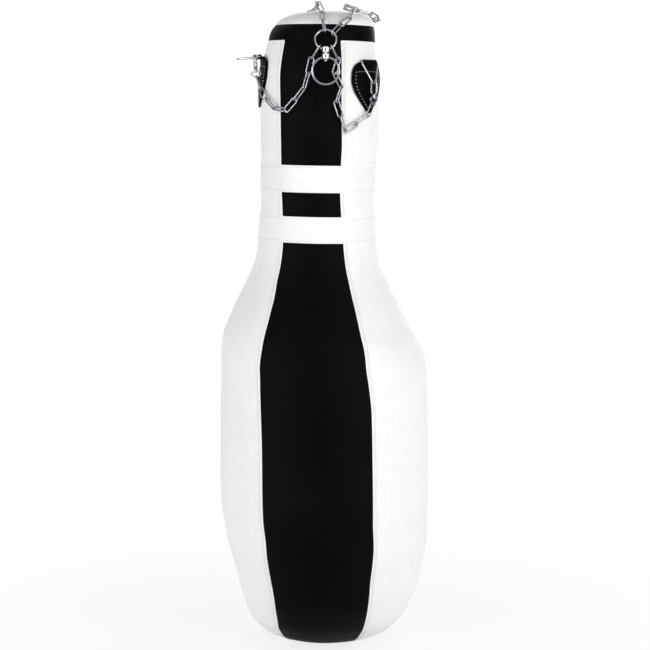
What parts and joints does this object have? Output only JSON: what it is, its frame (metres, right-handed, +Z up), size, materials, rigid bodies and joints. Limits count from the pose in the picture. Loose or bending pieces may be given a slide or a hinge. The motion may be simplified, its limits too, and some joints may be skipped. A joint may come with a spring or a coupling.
{
  "type": "punching bag",
  "caption": "Pin-shaped heavy bag with a narrow neck and flat foot, a front stripe, and a four-chain hanger with a gathering ring, barrel swivel and ceiling ring.",
  "frame": {"origin": "centre of the bag's box on the floor, under the foot", "axes": "+Z up along the bag; -Y is the front with the stripe and the ceiling ring; +X is the bag's left seen from the front's back, the picture's right"},
  "size_m": [0.4371, 0.4372, 1.3178],
  "materials": {
    "filling": "packed textile",
    "white_leather": "smooth coated",
    "black_leather": "smooth coated",
    "plated_steel": "bright plated",
    "swivel_steel": "bright plated"
  },
  "bodies": {
    "bag": {"filling": "filling", "side_panels": "white_leather", "front_stripe": "black_leather", "top_band": "black_leather", "top_cap": "white_leather", "neck_band_lower": "white_leather", "neck_band_upper": "white_leather", "foot_disc": "white_leather", "patch_front_left": "black_leather", "patch_front_right": "black_leather", "patch_rear_left": "black_leather", "patch_rear_right": "black_leather", "snap_hook_rear_left": "plated_steel", "snap_hook_rear_right": "plated_steel", "link_rear_left_01": "plated_steel", "link_rear_left_02": "plated_steel", "link_rear_left_03": "plated_steel", "link_rear_left_04": "plated_steel", "link_rear_left_05": "plated_steel", "link_rear_left_06": "plated_steel", "link_rear_left_07": "plated_steel", "link_rear_left_08": "plated_steel", "link_rear_left_09": "plated_steel", "link_rear_right_01": "plated_steel", "link_rear_right_02": "plated_steel", "link_rear_right_03": "plated_steel", "link_rear_right_04": "plated_steel", "link_rear_right_05": "plated_steel", "link_rear_right_06": "plated_steel", "link_rear_right_07": "plated_steel", "link_rear_right_08": "plated_steel", "link_rear_right_09": "plated_steel"},
    "gathering_ring": {"gathering_ring": "plated_steel"},
    "swivel_top": {"swivel_upper": "swivel_steel"},
    "swivel_base": {"swivel_lower": "swivel_steel"},
    "ceiling_ring": {"ceiling_ring": "plated_steel"},
    "chain_front_left": {"snap_hook_front_left": "plated_steel", "link_front_left_01": "plated_steel", "link_front_left_02": "plated_steel", "link_front_left_03": "plated_steel", "link_front_left_04": "plated_steel", "link_front_left_05": "plated_steel", "link_front_left_06": "plated_steel", "link_front_left_07": "plated_steel", "link_front_left_08": "plated_steel", "link_front_left_09": "plated_steel"},
    "chain_front_right": {"snap_hook_front_right": "plated_steel", "link_front_right_01": "plated_steel", "link_front_right_02": "plated_steel", "link_front_right_03": "plated_steel", "link_front_right_04": "plated_steel", "link_front_right_05": "plated_steel", "link_front_right_06": "plated_steel", "link_front_right_07": "plated_steel", "link_front_right_08": "plated_steel", "link_front_right_09": "plated_steel"},
    "delta_front_left": {"delta_ring_front_left": "plated_steel"},
    "delta_front_right": {"delta_ring_front_right": "plated_steel"},
    "delta_rear_left": {"delta_ring_rear_left": "plated_steel"},
    "delta_rear_right": {"delta_ring_rear_right": "plated_steel"}
  },
  "joints": [
    {"name": "gathering_ring_turn", "type": "hinge", "parent": "bag", "child": "gathering_ring", "pos_m": [0.003, -0.13704, 1.23721], "axis": [0, -0.9063, 0.4226], "continuous": true},
    {"name": "swivel_swing", "type": "hinge", "parent": "bag", "child": "swivel_top", "pos_m": [0.003, -0.146, 1.218], "axis": [-1, 0, 0], "range_deg": [0, 80]},
    {"name": "swivel_spin", "type": "hinge", "parent": "swivel_top", "child": "swivel_base", "pos_m": [0.003, -0.146, 1.2102], "axis": [0, 0, 1], "range_deg": [-12, 6]},
    {"name": "ceiling_ring_swing", "type": "hinge", "parent": "swivel_base", "child": "ceiling_ring", "pos_m": [0.003, -0.146, 1.2028], "axis": [-1, 0, 0], "range_deg": [0, 100]},
    {"name": "chain_swing_front_left", "type": "hinge", "parent": "bag", "child": "chain_front_left", "pos_m": [-0.00976, -0.1442, 1.22187], "axis": [-0.787, 0.609, -0.0992], "range_deg": [0, 35]},
    {"name": "chain_swing_front_right", "type": "hinge", "parent": "bag", "child": "chain_front_right", "pos_m": [0.01546, -0.14429, 1.22167], "axis": [-0.6917, -0.4537, 0.5618], "range_deg": [0, 12]},
    {"name": "delta_swing_front_left", "type": "hinge", "parent": "bag", "child": "delta_front_left", "pos_m": [-0.13337, -0.02019, 1.2065], "axis": [-0.1564, 0.9877, 0], "range_deg": [-12, 1]},
    {"name": "delta_swing_front_right", "type": "hinge", "parent": "bag", "child": "delta_front_right", "pos_m": [0.09073, -0.08134, 1.1945], "axis": [-0.6428, -0.766, 0], "range_deg": [-2, 1]},
    {"name": "delta_swing_rear_left", "type": "hinge", "parent": "bag", "child": "delta_rear_left", "pos_m": [-0.05565, 0.11648, 1.1945], "axis": [-0.9205, -0.3907, 0], "range_deg": [-2.5, 0]},
    {"name": "delta_swing_rear_right", "type": "hinge", "parent": "bag", "child": "delta_rear_right", "pos_m": [0.09617, 0.07438, 1.1945], "axis": [-0.5878, 0.809, 0], "range_deg": [-1.5, 0]}
  ]
}
